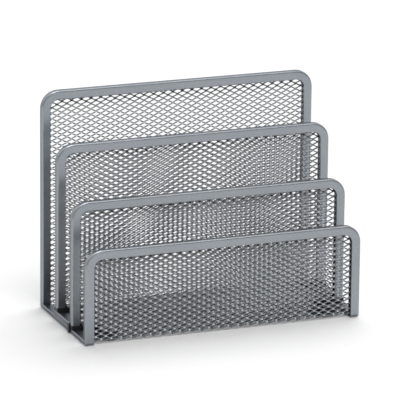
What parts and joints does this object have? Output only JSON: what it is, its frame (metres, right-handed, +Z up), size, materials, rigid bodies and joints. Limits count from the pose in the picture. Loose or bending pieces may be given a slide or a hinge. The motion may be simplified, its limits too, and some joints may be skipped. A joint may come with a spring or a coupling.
{
  "type": "mesh letter holder",
  "caption": "Desk letter holder of silver expanded-metal mesh: upright panels that step up towards the back, edged with folded strip, on a mesh base with black feet.",
  "frame": {"origin": "centre of the footprint on the surface the holder stands on", "axes": "+X to the holder's right as seen from its low front panel, +Y from the front panel to the tall back panel, +Z up"},
  "size_m": [0.1718, 0.081, 0.1314],
  "materials": {
    "silver_rim": "fine silver powder coat",
    "silver_mesh": "fine silver powder coat",
    "black_plastic": "matte",
    "black_rubber": "matte"
  },
  "bodies": {
    "root": {"back_mesh": "silver_mesh", "base_mesh": "silver_mesh", "front_mesh": "silver_mesh", "rear_divider_mesh": "silver_mesh", "front_divider_mesh": "silver_mesh", "back_rim": "silver_rim", "front_rim": "silver_rim", "rear_divider_rim": "silver_rim", "front_divider_rim": "silver_rim", "left_base_rail": "silver_rim", "right_base_rail": "silver_rim", "left_divider_tie": "silver_rim", "right_divider_tie": "silver_rim", "rear_divider_left_shoe": "black_plastic", "rear_divider_right_shoe": "black_plastic", "front_divider_left_shoe": "black_plastic", "front_divider_right_shoe": "black_plastic", "rear_left_foot": "black_rubber", "rear_right_foot": "black_rubber", "front_left_foot": "black_rubber", "front_right_foot": "black_rubber"}
  },
  "joints": []
}
